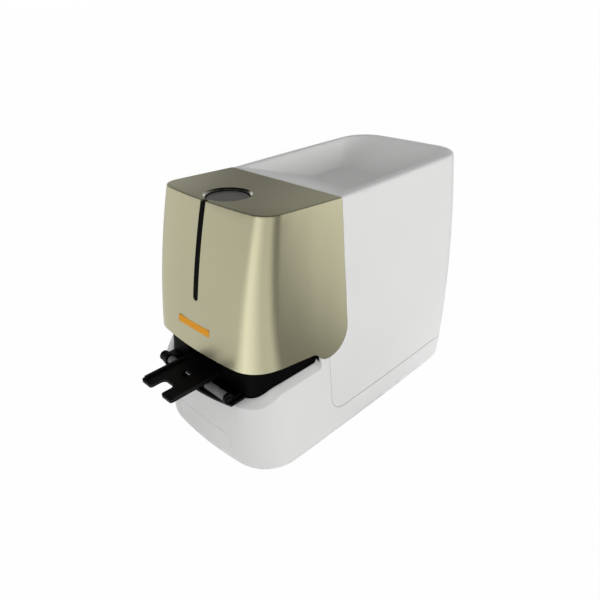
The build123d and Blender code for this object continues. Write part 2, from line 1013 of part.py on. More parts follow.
# Chassis
def chassis_plate():
    length = chassis_rear - chassis_front
    sheet = Pos(0, chassis_front + length / 2) * Rectangle(2 * chassis_half, length)
    sheet = fillet(sheet.vertices().sort_by(Axis.Y)[-2:], chassis_corner)
    plate = Pos(0, 0, chassis_z) * extrude(sheet, chassis_thick)
    for x, y in boss_places():
        plate -= rod_up(x, y, chassis_z - cut_over, chassis_top() + cut_over, screw_hole)
    return plate


def chassis_screws():
    screws = []
    for x, y in boss_places():
        head = rod_up(x, y, chassis_top(), chassis_top() + screw_head_high, screw_head_radius)
        screws.append(head + rod_up(x, y, chassis_z - screw_length, chassis_top(), screw_shank))
    return screws


def side_plate(side):
    x0, x1 = sorted((side * side_plate_x, side * (side_plate_x + side_plate_thick)))
    window_start = rod_front + side_window_front
    window_end = side_plate_rear - side_window_rear
    plate = box(x0, x1, rod_front, side_plate_rear, chassis_top(), optics_z)
    for x, y in boss_places():
        head_room = screw_head_radius + cut_over
        plate -= rod_up(x, y, chassis_top(), chassis_top() + screw_head_high + cut_over, head_room)
    return plate - box(x0 - cut_over, x1 + cut_over, window_start, window_end, *side_window_z)


# Optics
def deck():
    return optics_z + optics_thick


beam_z = deck() + beam_height
slit_y = rear_wall_y - slit_from_wall
pmt_y = slit_y - pmt_from_slit
polygon_y = slit_y + polygon_from_slit
optics_rear = polygon_y + optics_behind_polygon


def optics_plate():
    low = optics_z - cut_over
    high = deck() + cut_over
    plate = box(-optics_half, optics_half, rod_front + optics_set_back, optics_rear, optics_z, deck())
    slit = (slit_y - slit_half_width, slit_y + slit_half_width)
    window = (pmt_y - pmt_window_half, pmt_y + pmt_window_half)
    plate -= box(-slit_half_length, slit_half_length, *slit, low, high)
    return plate - box(-pmt_window_half, pmt_window_half, *window, low, high)


def light_guide():
    slit = Rectangle(guide_slit_width, guide_slit_thick)
    low = Pos(0, slit_y - guide_set_back, tray_top + guide_lift) * slit
    high = Pos(0, pmt_y, deck()) * Rectangle(guide_top_width, guide_top_depth)
    return loft([low, high])


def pmt_tube():
    return rod_up(0, pmt_y, deck(), deck() + pmt_length, pmt_radius)


def pmt_shield():
    shield_radius = pmt_radius + shield_wall
    bore_top = deck() + pmt_length + shield_wall
    tube = rod_up(0, pmt_y, deck(), bore_top + shield_lid, shield_radius)
    tube += rod_up(0, pmt_y, deck(), deck() + shield_foot_thick, pmt_radius + shield_foot)
    return tube - rod_up(0, pmt_y, deck() - cut_over, bore_top, pmt_radius + shield_gap)


def laser_holder():
    x0 = laser_x - holder_length / 2
    x1 = laser_x + holder_length / 2
    block = box(x0, x1, polygon_y - holder_half, polygon_y + holder_half, deck(), beam_z + holder_lid)
    return block - rod_x(x0 - cut_over, x1 + cut_over, polygon_y, beam_z, laser_radius)


def laser_module():
    end = laser_x + laser_length / 2
    body = rod_x(end - laser_length, end, polygon_y, beam_z, laser_radius)
    return body - rod_x(end - laser_bore_depth, end + cut_over, polygon_y, beam_z, laser_bore)


def polygon_motor():
    top = deck() + polygon_motor_high
    can = rod_up(polygon_x, polygon_y, deck(), top, polygon_motor_radius)
    floor = deck() + polygon_bore_floor
    return can - rod_up(polygon_x, polygon_y, floor, top + cut_over, polygon_shaft + fit_gap)


def polygon_mirror():
    low = deck() + polygon_motor_high + polygon_gap
    foot = deck() + polygon_bore_floor + polygon_gap
    prism = Pos(polygon_x, polygon_y, low) * extrude(RegularPolygon(polygon_radius, 6), polygon_thick)
    return prism + rod_up(polygon_x, polygon_y, foot, low, polygon_shaft)


def scan_lens():
    back = polygon_y - lens_ahead
    front = back + lens_thick
    curve = ThreePointArc((-lens_half, back), (0, back - lens_bow), (lens_half, back))
    rest = Polyline((lens_half, back), (lens_half, front), (-lens_half, front), (-lens_half, back))
    face = make_face([*curve.edges(), *rest.edges()])
    return Pos(polygon_x, 0, deck()) * extrude(face, lens_high)


def fold_mirror():
    glass = Rot(45, 0, 0) * Box(mirror_length, mirror_width, mirror_thick)
    return Pos(0, slit_y, beam_z) * glass


def mirror_brackets():
    brackets = []
    start = mirror_length / 2 + mirror_holder_gap
    y0 = slit_y - mirror_holder_half
    for side in (-1, 1):
        x0, x1 = sorted((side * start, side * (start + mirror_holder_thick)))
        brackets.append(box(x0, x1, y0, y0 + 2 * mirror_holder_half, deck(), beam_z + mirror_holder_half))
    return brackets


def erase_lamp():
    y0 = slit_y + lamp_start
    z0 = optics_z - lamp_thick
    bar = box(-lamp_half, lamp_half, y0, y0 + lamp_width, z0, optics_z)
    first = -lamp_pitch * (lamp_count - 1) / 2
    z1 = z0 + lamp_bead_sink
    for i in range(lamp_count):
        x = first + lamp_pitch * i
        bar += rod_up(x, y0 + lamp_width / 2, z1 - lamp_bead_high, z1, lamp_bead_radius)
    return bar


# Electronics
def standoff_places():
    return [(x, y) for x in standoff_xs for y in standoff_ys]


def standoffs():
    return [rod_up(x, y, chassis_top(), board_z, standoff_radius) for x, y in standoff_places()]


def main_board():
    board = box(*board_x, *board_y, board_z, board_z + board_thick)
    for x, y in standoff_places():
        board -= rod_up(x, y, board_z - cut_over, board_z + board_thick + cut_over, board_hole)
    return board


def board_chips():
    # Chip places and sides across the board, each with its height
    z = board_z + board_thick
    chips = [
        (sink_x, sink_y, 14, chip_high),
        (34, 76, 9, 1.0),
        (-14, 96, 10, 1.4),
        (30, 108, 12, 2.0),
        (-16, 66, 7, 1.0),
    ]
    return [Pos(x, y, z + high / 2) * Box(side, side, high) for x, y, side, high in chips]


def board_heatsink():
    z = board_z + board_thick + chip_high
    x0 = sink_x - sink_side / 2
    y0 = sink_y - sink_side / 2
    sink = box(x0, x0 + sink_side, y0, y0 + sink_side, z, z + sink_base)
    for i in range(sink_fins):
        x = x0 + i * sink_pitch
        sink += box(x, x + sink_fin, y0, y0 + sink_side, z + sink_base, z + sink_high)
    return sink


def board_frame():
    z0 = chassis_top()
    wall_part = box(frame_x, frame_x + frame_thick, *frame_y, z0, frame_top)
    return wall_part + box(frame_x, frame_x + frame_foot, *frame_y, z0, z0 + frame_thick)


def power_standoffs():
    x0 = frame_x + frame_thick
    places = [(y, z) for y in power_standoff_ys for z in power_standoff_zs]
    return [rod_x(x0, x0 + power_gap, y, z, standoff_radius) for y, z in places]


def power_board():
    x0 = frame_x + frame_thick + power_gap
    return box(x0, x0 + board_thick, *frame_y, *power_z)


def power_parts():
    # Transformer, three capacitors and a choke, standing off the board
    x0 = frame_x + frame_thick + power_gap + board_thick
    transformer = box(x0, x0 + 18, 62, 82, 56, 78)
    choke = box(x0, x0 + 10, 88, 102, 58, 72)
    capacitors = [rod_x(x0, x0 + 14, y, 92, 5.0) for y in (64.0, 76.0, 88.0)]
    return [transformer, *capacitors, choke]


# Rear panel
panel_y = chassis_rear - panel_thick
connector_z = board_z + board_thick


def rear_panel():
    plate = box(-panel_half, panel_half, panel_y, chassis_rear, chassis_top(), panel_high)
    plate -= rod_y(0, panel_y - cut_over, chassis_rear + cut_over, fan_z, fan_bore)
    high = connector_z + connector_high / 2
    holes = [
        (usb_x, high, usb_half, connector_high / 2),
        (inlet_x, high, inlet_half, connector_high / 2),
        (rocker_x, rocker_z, switch_half_width, switch_half_height),
    ]
    for x, z, half_wide, half_high in holes:
        wide = half_wide + trim_gap
        tall = half_high + trim_gap
        plate -= box(x - wide, x + wide, panel_y - cut_over, chassis_rear + cut_over, z - tall, z + tall)
    return plate


def usb_socket():
    end = chassis_rear + connector_stand
    top = connector_z + connector_high
    room = usb_half - usb_wall
    body = box(usb_x - usb_half, usb_x + usb_half, connector_front, end, connector_z, top)
    mouth = (chassis_rear - usb_depth, end + cut_over)
    return body - box(usb_x - room, usb_x + room, *mouth, connector_z + usb_lip, top - usb_wall + trim_gap)


def dc_inlet():
    end = chassis_rear + connector_stand
    top = connector_z + connector_high
    body = box(inlet_x - inlet_half, inlet_x + inlet_half, connector_front, end, connector_z, top)
    start = chassis_rear - usb_depth
    return body - rod_y(inlet_x, start, end + cut_over, connector_z + inlet_axis, inlet_bore)


def dc_pin():
    end = chassis_rear - inlet_pin_set_in
    return rod_y(inlet_x, chassis_rear - usb_depth, end, connector_z + inlet_axis, inlet_pin)


def switch_box(half_wide, half_high, y0, y1):
    return box(rocker_x - half_wide, rocker_x + half_wide, y0, y1, rocker_z - half_high, rocker_z + half_high)


def switch_housing():
    rim = switch_rim
    end = chassis_rear + switch_rim_thick
    body = switch_box(switch_half_width, switch_half_height, chassis_rear - switch_depth, chassis_rear)
    body += switch_box(switch_half_width + rim, switch_half_height + rim, chassis_rear, end)
    well_start = chassis_rear - switch_well_depth
    body -= switch_box(switch_well_half_width, switch_well_half_height, well_start, end + cut_over)
    reach = rocker_pin_half + fit_gap
    return body - rod_x(rocker_x - reach, rocker_x + reach, rocker_axis_y(), rocker_z, rocker_pin + fit_gap)


def rocker_axis_y():
    return chassis_rear - 2.0


def rocker_switch():
    # Rocker with a shallow V face, resting with its upper half pressed in
    y = rocker_axis_y()
    rear = [(y + rocker_face, -rocker_reach), (y + rocker_dip, 0), (y + rocker_face, rocker_reach)]
    front = [(y - rocker_back, rocker_root), (y - rocker_face, 0), (y - rocker_back, -rocker_root)]
    face = closed(rear + front)
    body = extrude(Plane.YZ * face, rocker_half, both=True)
    body = Pos(0, y, 0) * (Rot(rocker_rest, 0, 0) * (Pos(0, -y, 0) * body))
    pin = rod_x(-rocker_pin_half, rocker_pin_half, y, 0, rocker_pin)
    return Pos(rocker_x, 0, rocker_z) * (body + pin)


def fan_frame():
    half = fan_size / 2
    y1 = panel_y
    y0 = y1 - fan_depth
    frame = box(-half, half, y0, y1, fan_z - half, fan_z + half)
    frame = fillet(frame.edges().filter_by(Axis.Y), fan_corner)
    frame -= rod_y(0, y0 - cut_over, y1 + cut_over, fan_z, fan_bore)
    frame += rod_y(0, y0, y0 + fan_arm_thick, fan_z, fan_hub)
    reach = (fan_hub - cut_over, fan_bore + cut_over)
    for angle in (45, 135, 225, 315):
        arm = box(*reach, y0, y0 + fan_arm_thick, -fan_arm_width / 2, fan_arm_width / 2)
        frame += Pos(0, 0, fan_z) * Rot(0, angle, 0) * arm
    return frame - rod_y(0, y0 - cut_over, y0 + fan_arm_thick + cut_over, fan_z, fan_shaft + fit_gap)


def fan_rotor():
    y0 = panel_y - fan_depth + fan_arm_thick + fan_end_gap
    y1 = panel_y - fan_guard_gap
    rotor = rod_y(0, y0, y1, fan_z, fan_hub)
    middle = fan_hub - fan_blade_root + fan_blade_length / 2
    blade = Box(fan_blade_length, fan_blade_thick, fan_blade_chord)
    for i in range(fan_blades):
        turned = Rot(0, 360 / fan_blades * i, 0) * (Pos(middle, 0, 0) * Rot(fan_blade_pitch, 0, 0) * blade)
        rotor += Pos(0, (y0 + y1) / 2, fan_z) * turned
    return rotor + rod_y(0, panel_y - fan_depth + trim_gap, y0, fan_z, fan_shaft)


def fan_guard():
    # Wire rings in front of the fan, held by four arms
    y0 = chassis_rear
    y1 = y0 + 2 * guard_wire
    guard = None
    for r in guard_radii:
        bore = rod_y(0, y0 - cut_over, y1 + cut_over, fan_z, r - guard_wire)
        ring = rod_y(0, y0, y1, fan_z, r + guard_wire) - bore
        guard = ring if guard is None else guard + ring
    for angle in (45, 135, 225, 315):
        arm = box(guard_radii[0] - guard_wire / 2, guard_arm_reach, y0, y1, -guard_wire, guard_wire)
        guard += Pos(0, 0, fan_z) * Rot(0, angle, 0) * arm
    return guard


def rear_cover(outer, inner):
    # The shell, with a tunnel behind the rear panel
    shell = (outer - inner) & side_prism(rear_face())
    half = tunnel_half + tunnel_wall
    frame = box(-half, half, chassis_rear, far, tunnel_low - tunnel_wall, tunnel_high + tunnel_wall)
    shell += frame & outer
    return shell - box(-tunnel_half, tunnel_half, chassis_rear - cut_over, far, tunnel_low, tunnel_high)


# Top basin
def basin_section(share, spread, height):
    # Rounded rectangle at a share of the way from the floor's outline to the rim's
    front = (rim_y + basin_floor_front, cover_y + seam + basin_front_lap)
    rear = (rim_y + basin_floor_rear, rear_y(body_height) - tray_rim)
    half = (basin_floor_half, half_width(body_height) - tray_rim)
    front_radius = (basin_floor_corner, basin_front_corner)
    rear_radius = (basin_floor_corner, basin_rear_corner)
    between = [a + (b - a) * share for a, b in (front, rear, half, front_radius, rear_radius)]
    y0, y1, x1, front_r, rear_r = between
    face = Rectangle(2 * (x1 + spread), y1 - y0 + 2 * spread)
    face = fillet(face.vertices().sort_by(Axis.Y)[:2], front_r + spread)
    face = fillet(face.vertices().sort_by(Axis.Y)[-2:], rear_r + spread)
    return Pos(0, (y0 + y1) / 2, height) * face


def basin_height(share):
    # Rise of the sloping walls: flat at the floor, eased again at the rim
    foot = basin_foot_blend
    rim = basin_rim_blend
    if share < foot:
        rise = share**2 / (2 * foot)
    elif share < 1 - rim:
        rise = share - foot / 2
    else:
        rise = 1 - foot / 2 - rim / 4 - (1 - share) / 2 - (1 - share) ** 2 / (4 * rim)
    return rise / (1 - foot / 2 - rim / 4)


def basin_form(spread, drop):
    # Hollow with soft creases from the rim down to its floor
    depth = body_height - basin_floor_z
    steps = range(basin_steps + 1)
    foot = [basin_foot_blend * i / basin_steps for i in steps]
    rim = [1 - basin_rim_blend * i / basin_steps for i in reversed(steps)]
    heights = [basin_floor_z - drop + depth * basin_height(share) for share in foot + rim]
    return loft([basin_section(s, spread, z) for s, z in zip(foot + rim, heights)], ruled=True)


def top_tray(outer):
    z1 = body_height
    start = cover_y + seam
    plate = outer & box(-far, far, start, far, z1 - slab, z1)
    edges = [e for e in plate.edges() if e.center().Z > z1 - fit_gap and e.center().Y > start + trim_gap]
    shell = fillet(edges, rim_round)
    shell += basin_form(wall, wall) & box(-far, far, start, far, 0, z1 - rim_top_lap)
    return shell - basin_form(0, 0)


def rubber_feet():
    return [rod_up(x, y, 0, foot_height + foot_inset, foot_radius) for x, y in foot_places()]


def build():
    os.makedirs("parts", exist_ok=True)
    outer = hull(0.0)
    inner = hull(wall, foot_height + wall)
    lip_inner = hull(lip_width, foot_height + wall)
    fascia_skin = hull(lip_width + fascia_gap, foot_height + wall)
    fascia_back = hull(lip_width + fascia_gap + fascia_wall, foot_height + wall)

    write("front_cover", front_cover(outer, inner))
    write("slot_window", slot_window())
    write("light_pipe", light_pipe())
    write("light_board", light_board())
    write("label_bar", label_solid(0, label_pocket, label_stand))
    write("button_ring", button_ring())
    write("button_well", button_well())
    write("start_button", start_button())
    write("switch_actuator", switch_actuator())
    write("button_switch", button_switch())
    write("base_shell", base_shell(outer, inner, lip_inner))
    write("drawer_front", drawer_front(outer))
    write("drawer_box", drawer_box())
    write("drawer_rails", group(drawer_rails()))
    write("fascia", fascia(fascia_skin, fascia_back))
    write("rear_cover", rear_cover(outer, inner))
    write("top_tray", top_tray(outer))
    write("plate_tray", plate_tray())
    write("tray_catch", tray_catch())
    write("carriage_block", carriage_block())
    write("carriage_bushes", group(carriage_bushes()))
    write("carriage_nut", carriage_nut())
    write("guide_rods", group(guide_rods()))
    write("lead_screw", lead_screw())
    write("screw_bearing", screw_bearing())
    write("front_bulkhead", front_bulkhead())
    write("rear_bulkhead", rear_bulkhead())
    write("transport_motor", transport_motor())
    write("roller_bracket", roller_bracket(fascia_skin))
    write("roller_axle", roller_axle())
    write("left_roller", roller(-1))
    write("right_roller", roller(1))
    write("axle_caps", group(axle_caps()))
    write("chassis_plate", chassis_plate())
    write("chassis_screws", group(chassis_screws()))
    write("side_plates", group([side_plate(-1), side_plate(1)]))
    write("optics_plate", optics_plate())
    write("light_guide", light_guide())
    write("pmt_tube", pmt_tube())
    write("pmt_shield", pmt_shield())
    write("laser_holder", laser_holder())
    write("laser_module", laser_module())
    write("polygon_motor", polygon_motor())
    write("polygon_mirror", polygon_mirror())
    write("scan_lens", scan_lens())
    write("fold_mirror", fold_mirror())
    write("mirror_brackets", group(mirror_brackets()))
    write("erase_lamp", erase_lamp())
    write("main_board", main_board())
    write("board_parts", group(board_chips() + [board_heatsink()] + standoffs()))
    write("board_frame", board_frame())
    write("power_board", group([power_board()] + power_standoffs() + power_parts()))
    write("rear_panel", rear_panel())
    write("usb_socket", usb_socket())
    write("dc_inlet", group([dc_inlet(), dc_pin()]))
    write("switch_housing", switch_housing())
    write("rocker_switch", rocker_switch())
    write("cooling_fan", group([fan_frame(), fan_guard()]))
    write("fan_rotor", fan_rotor())
    write("rubber_feet", group(rubber_feet()))


build()
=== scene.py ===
import json
import math
import bmesh
import bpy
from mathutils import Matrix, Vector

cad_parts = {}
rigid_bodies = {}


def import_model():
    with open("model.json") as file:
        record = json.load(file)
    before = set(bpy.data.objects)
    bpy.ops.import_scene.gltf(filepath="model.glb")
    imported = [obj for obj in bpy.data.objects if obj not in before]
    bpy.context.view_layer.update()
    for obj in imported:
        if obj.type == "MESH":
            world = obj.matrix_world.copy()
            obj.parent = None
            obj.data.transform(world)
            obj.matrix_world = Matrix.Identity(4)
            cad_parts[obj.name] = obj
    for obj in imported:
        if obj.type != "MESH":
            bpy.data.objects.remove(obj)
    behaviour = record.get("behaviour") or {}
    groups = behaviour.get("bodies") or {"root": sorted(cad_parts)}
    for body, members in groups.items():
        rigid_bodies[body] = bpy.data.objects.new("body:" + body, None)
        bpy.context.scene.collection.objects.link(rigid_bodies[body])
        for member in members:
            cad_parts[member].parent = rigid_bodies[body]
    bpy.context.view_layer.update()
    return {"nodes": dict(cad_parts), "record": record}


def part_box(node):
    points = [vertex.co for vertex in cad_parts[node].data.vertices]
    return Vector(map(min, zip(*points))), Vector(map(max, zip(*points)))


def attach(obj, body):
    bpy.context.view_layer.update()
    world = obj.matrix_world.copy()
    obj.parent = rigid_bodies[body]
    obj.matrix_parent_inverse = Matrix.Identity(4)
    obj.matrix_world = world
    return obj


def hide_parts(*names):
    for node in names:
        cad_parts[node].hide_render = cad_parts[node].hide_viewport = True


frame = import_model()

# Plate scanner: champagne cover, white housing, black tray and rollers.
# Everything is in metres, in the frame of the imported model; the pieces' own sizes are in mm.

mm = 0.001
nodes = frame["nodes"]
slotOf = {part["node"]: part["material_slot"] for part in frame["record"]["subparts"]}
bodyOf = {}
for bodyName, members in frame["record"]["behaviour"]["bodies"].items():
    for member in members:
        bodyOf[member] = bodyName


# Materials: what they are built from

def toLinear(hexText):
    # sRGB hex, as on a paint chart, to the linear values that the shaders take
    channels = [int(hexText[i:i + 2], 16) / 255 for i in (1, 3, 5)]
    line = [c / 12.92 if c <= 0.04045 else ((c + 0.055) / 1.055) ** 2.4 for c in channels]
    return (*line, 1.0)


def addNode(tree, kind, settings=None, inputs=None, links=None):
    node = tree.nodes.new(kind)
    for key, value in (settings or {}).items():
        setattr(node, key, value)
    for key, value in (inputs or {}).items():
        node.inputs[key].default_value = value
    for key, socket in (links or {}).items():
        tree.links.new(socket, node.inputs[key])
    return node


def startMaterial(name, sockets):
    # A material with its shader, and the place on the object in metres
    material = bpy.data.materials.new(name)
    material.use_nodes = True
    tree = material.node_tree
    tree.nodes.clear()
    shader = addNode(tree, "ShaderNodeBsdfPrincipled", inputs=sockets)
    addNode(tree, "ShaderNodeOutputMaterial", links={"Surface": shader.outputs[0]})
    place = addNode(tree, "ShaderNodeTexCoord").outputs["Object"]
    return material, tree, shader, place


def layLook(tree, shader, look, share, height):
    # Tint and roughness run from one end to the other with a share, and the relief follows a height
    tint = addNode(tree, "ShaderNodeMix", {"data_type": "RGBA"}, links={0: share},
                   inputs={6: toLinear(look["dark"]), 7: toLinear(look["light"])})
    low, high = look["roughness"]
    rough = addNode(tree, "ShaderNodeMapRange", links={"Value": share}, inputs={"To Min": low, "To Max": high})
    bump = addNode(tree, "ShaderNodeBump", links={"Height": height}, inputs={"Distance": look["relief"]})
    tree.links.new(tint.outputs[2], shader.inputs["Base Color"])
    tree.links.new(rough.outputs[0], shader.inputs["Roughness"])
    tree.links.new(bump.outputs[0], shader.inputs["Normal"])


# The noise stands askew to the housing, because it shows as blotches on faces that are square to its lattice
grainNoise = {"turn": (0.5, 0.7, 0.3), "patchSpan": (0.2, 0.8), "grainSpan": (0.35, 0.65), "speckle": 0.1}


def grainedMaterial(name, look):
    # Broad soft patches between two close tints, speckled by a fine grain that also stands in relief
    material, tree, shader, place = startMaterial(name, look.get("sockets", {}))
    askew = addNode(tree, "ShaderNodeMapping", links={"Vector": place}, inputs={"Rotation": grainNoise["turn"]})
    patches = addNode(tree, "ShaderNodeTexNoise", links={"Vector": askew.outputs[0]},
                      inputs={"Scale": 1 / look["patch"], "Detail": 1.0, "Roughness": 0.3})
    grain = addNode(tree, "ShaderNodeTexNoise", links={"Vector": askew.outputs[0]},
                    inputs={"Scale": 1 / look["grain"], "Detail": 2.0, "Roughness": 0.5})
    low, high = grainNoise["patchSpan"]
    share = addNode(tree, "ShaderNodeMapRange", links={"Value": patches.outputs[0]},
                    inputs={"From Min": low, "From Max": high})
    low, high = grainNoise["grainSpan"]
    most = look.get("speckle", grainNoise["speckle"])
    speckle = addNode(tree, "ShaderNodeMapRange", links={"Value": grain.outputs[0]},
                      inputs={"From Min": low, "From Max": high, "To Min": -most, "To Max": most})
    both = addNode(tree, "ShaderNodeMath", {"operation": "ADD", "use_clamp": True},
                   links={0: share.outputs[0], 1: speckle.outputs[0]})
    layLook(tree, shader, look, both.outputs[0], grain.outputs[0])
    return material


def turnedMaterial(name, look):
    # Turned metal: fine rings round an axis through a point
    material, tree, shader, place = startMaterial(name, look.get("sockets", {}))
    centred = addNode(tree, "ShaderNodeMapping", links={"Vector": place},
                      inputs={"Location": tuple(-c for c in look["centre"])})
    rings = addNode(tree, "ShaderNodeTexWave", links={"Vector": centred.outputs[0]},
                    settings={"wave_type": "RINGS", "rings_direction": look["axis"]},
                    inputs={"Scale": 1 / look["ring"], "Distortion": 1.5, "Detail": 3.0, "Detail Scale": 4.0})
    layLook(tree, shader, look, rings.outputs[1], rings.outputs[1])
    return material


# Materials, each named for what it is and how its surface was made

# Aluminium flake lacquer, baked on a pressed cover: satin, with a warm soft highlight and no sparkle
champagneLacquer = grainedMaterial("champagneFlakeLacquer", {
    "dark": "#d3cfad", "light": "#d9d5b3", "roughness": (0.28, 0.31),
    "grain": 0.5 * mm, "patch": 60 * mm, "relief": 0.004 * mm,
    "sockets": {"Metallic": 0.9},
})

# Moulded ABS with a fine spark-eroded grain, which spreads the light and hides the sheen
whiteAbs = grainedMaterial("sparkErodedWhiteAbs", {
    "dark": "#e4e4e3", "light": "#e7e7e6", "roughness": (0.42, 0.52),
    "grain": 0.7 * mm, "patch": 45 * mm, "relief": 0.012 * mm,
    "sockets": {"IOR": 1.5},
})

# Black ABS, moulded matt: the grain is drawn at 0.6 mm, coarser than the real 0.1 mm, so that it shows
blackAbs = grainedMaterial("mattBlackAbs", {
    "dark": "#050505", "light": "#0a0a0a", "roughness": (0.40, 0.55),
    "grain": 0.6 * mm, "patch": 20 * mm, "relief": 0.012 * mm,
    "sockets": {"IOR": 1.5, "Specular IOR Level": 0.22},
})

# Black ABS for the walls of the plate mouth, with a deeper grain: a darker copy of the black ABS with its sheen
# nearly taken away, which is painted shade for the recess under the cover
mouthShadeBlackAbs = grainedMaterial("shadedMouthBlackAbs", {
    "dark": "#030303", "light": "#060606", "roughness": (0.5, 0.6),
    "grain": 0.6 * mm, "patch": 20 * mm, "relief": 0.02 * mm,
    "sockets": {"IOR": 1.5, "Specular IOR Level": 0.05},
})

# Smoke black acrylic with a blooming coat, backed in black: almost no reflection is left
blackAcrylic = grainedMaterial("coatedSmokeBlackAcrylic", {
    "dark": "#020202", "light": "#030303", "roughness": (0.16, 0.22),
    "grain": 4 * mm, "patch": 30 * mm, "relief": 0.002 * mm,
    "sockets": {"IOR": 1.49, "Specular IOR Level": 0.04},
})

# Aluminium, fine turned and clear anodised: a bright edge with long soft glints
turnedAluminium = grainedMaterial("fineTurnedAluminium", {
    "dark": "#eeecdc", "light": "#f6f4e6", "roughness": (0.20, 0.26),
    "grain": 0.5 * mm, "patch": 8 * mm, "relief": 0.001 * mm,
    "sockets": {"Metallic": 1.0},
})

# Orange vinyl film, printed in one flat colour and slightly glossy
orangeVinyl = grainedMaterial("orangeVinylFilm", {
    "dark": "#f2a21a", "light": "#f8ab22", "roughness": (0.36, 0.44),
    "grain": 0.8 * mm, "patch": 9 * mm, "relief": 0.003 * mm,
    "sockets": {"Specular IOR Level": 0.2},
})

# Nitrile rubber, ground to size: dull mid grey with a sandy nap
groundNitrile = grainedMaterial("groundNitrileRubber", {
    "dark": "#707070", "light": "#858585", "roughness": (0.5, 0.62), "speckle": 0.4,
    "grain": 0.5 * mm, "patch": 6 * mm, "relief": 0.05 * mm,
})

# Silicone rubber, moulded: nearly black, with a bloom of dust
mouldedSilicone = grainedMaterial("mouldedSiliconeRubber", {
    "dark": "#1b1b1c", "light": "#262627", "roughness": (0.6, 0.7),
    "grain": 0.8 * mm, "patch": 8 * mm, "relief": 0.03 * mm,
})

# Acrylic with a frosted face, which glows evenly where light enters its edge
frostedAcrylic = grainedMaterial("frostedAcrylic", {
    "dark": "#d9dcdd", "light": "#e6e8e9", "roughness": (0.35, 0.5),
    "grain": 0.5 * mm, "patch": 12 * mm, "relief": 0.01 * mm,
    "sockets": {"Transmission Weight": 0.4, "IOR": 1.49},
})

# Steel rod and screws, ground and passivated: a clean cool grey
groundSteel = grainedMaterial("groundSteel", {
    "dark": "#9a9b9c", "light": "#abacad", "roughness": (0.22, 0.34), "speckle": 0.3,
    "grain": 0.4 * mm, "patch": 10 * mm, "relief": 0.004 * mm,
    "sockets": {"Metallic": 1.0},
})

# Sheet steel, zinc plated: pale grey with the soft spangle of the plating
zincSheet = grainedMaterial("zincPlatedSheet", {
    "dark": "#a0a4a3", "light": "#bec2c0", "roughness": (0.3, 0.46), "speckle": 0.3,
    "grain": 1.5 * mm, "patch": 7 * mm, "relief": 0.004 * mm,
    "sockets": {"Metallic": 1.0},
})

# Aluminium, machined from bar: brighter and finer than the sheet
machinedAluminium = grainedMaterial("machinedAluminium", {
    "dark": "#b4b6b7", "light": "#c6c8c9", "roughness": (0.25, 0.36), "speckle": 0.2,
    "grain": 0.4 * mm, "patch": 8 * mm, "relief": 0.004 * mm,
    "sockets": {"Metallic": 1.0},
})

# Brass, turned: warm yellow with fine tool marks
turnedBrass = grainedMaterial("turnedBrass", {
    "dark": "#b58f45", "light": "#c8a355", "roughness": (0.2, 0.32), "speckle": 0.2,
    "grain": 0.4 * mm, "patch": 6 * mm, "relief": 0.004 * mm,
    "sockets": {"Metallic": 1.0},
})

# Optical glass, polished and coated: clear with a faint blue cast
coatedGlass = grainedMaterial("coatedOpticalGlass", {
    "dark": "#dfe8ef", "light": "#e7eff4", "roughness": (0.02, 0.05),
    "grain": 6 * mm, "patch": 20 * mm, "relief": 0.001 * mm,
    "sockets": {"Transmission Weight": 0.9, "IOR": 1.52},
})

# Glass with a silvered front face: a clean mirror
silveredGlass = grainedMaterial("silveredGlass", {
    "dark": "#eceeee", "light": "#f2f3f3", "roughness": (0.02, 0.04),
    "grain": 8 * mm, "patch": 20 * mm, "relief": 0.0005 * mm,
    "sockets": {"Metallic": 1.0},
})

# Glass laminate under green solder mask; the weave is drawn at 0.8 mm so that it shows
solderMask = grainedMaterial("greenSolderMask", {
    "dark": "#15492c", "light": "#1d5b38", "roughness": (0.28, 0.4), "speckle": 0.5,
    "grain": 0.8 * mm, "patch": 5 * mm, "relief": 0.02 * mm,
})

# Epoxy chip bodies, moulded: charcoal and dull
mouldedEpoxy = grainedMaterial("mouldedEpoxy", {
    "dark": "#17181a", "light": "#202124", "roughness": (0.5, 0.62), "speckle": 0.3,
    "grain": 0.4 * mm, "patch": 4 * mm, "relief": 0.02 * mm,
})

# Aluminium button, spun and anodised dark: the rings round its middle are drawn wider than real, so that they show
buttonLow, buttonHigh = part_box("start_button")
spunAluminium = turnedMaterial("spunDarkAluminium", {
    "centre": (buttonLow + buttonHigh) / 2, "axis": "Z", "ring": 2.4 * mm,
    "dark": "#82807e", "light": "#918f8d", "roughness": (0.36, 0.46), "relief": 0.003 * mm,
    "sockets": {"Metallic": 0.6},
})

slotMaterials = {
    "gold_cover": champagneLacquer, "white_shell": whiteAbs, "black_plastic": blackAbs,
    "dark_window": blackAcrylic, "polished_ring": turnedAluminium, "button_grey": spunAluminium,
    "orange_label": orangeVinyl, "roller_rubber": groundNitrile, "foot_rubber": mouldedSilicone,
    "clear_plastic": frostedAcrylic, "steel": groundSteel, "zinc_plate": zincSheet,
    "cast_alloy": machinedAluminium, "brass": turnedBrass, "optic_glass": coatedGlass,
    "mirror_face": silveredGlass, "circuit_board": solderMask, "chip_black": mouldedEpoxy,
}
for nodeName, node in nodes.items():
    node.data.materials.clear()
    node.data.materials.append(slotMaterials[slotOf[nodeName]])
print("materials on", len(nodes), "CAD nodes")


# Pieces: what they are built from

# Points closer than this are one: on a CAD node's own triangles, and on a body that is made here
nodeWeld, bodyWeld = 0.002 * mm, 0.001 * mm
flatWithin = math.radians(0.2)


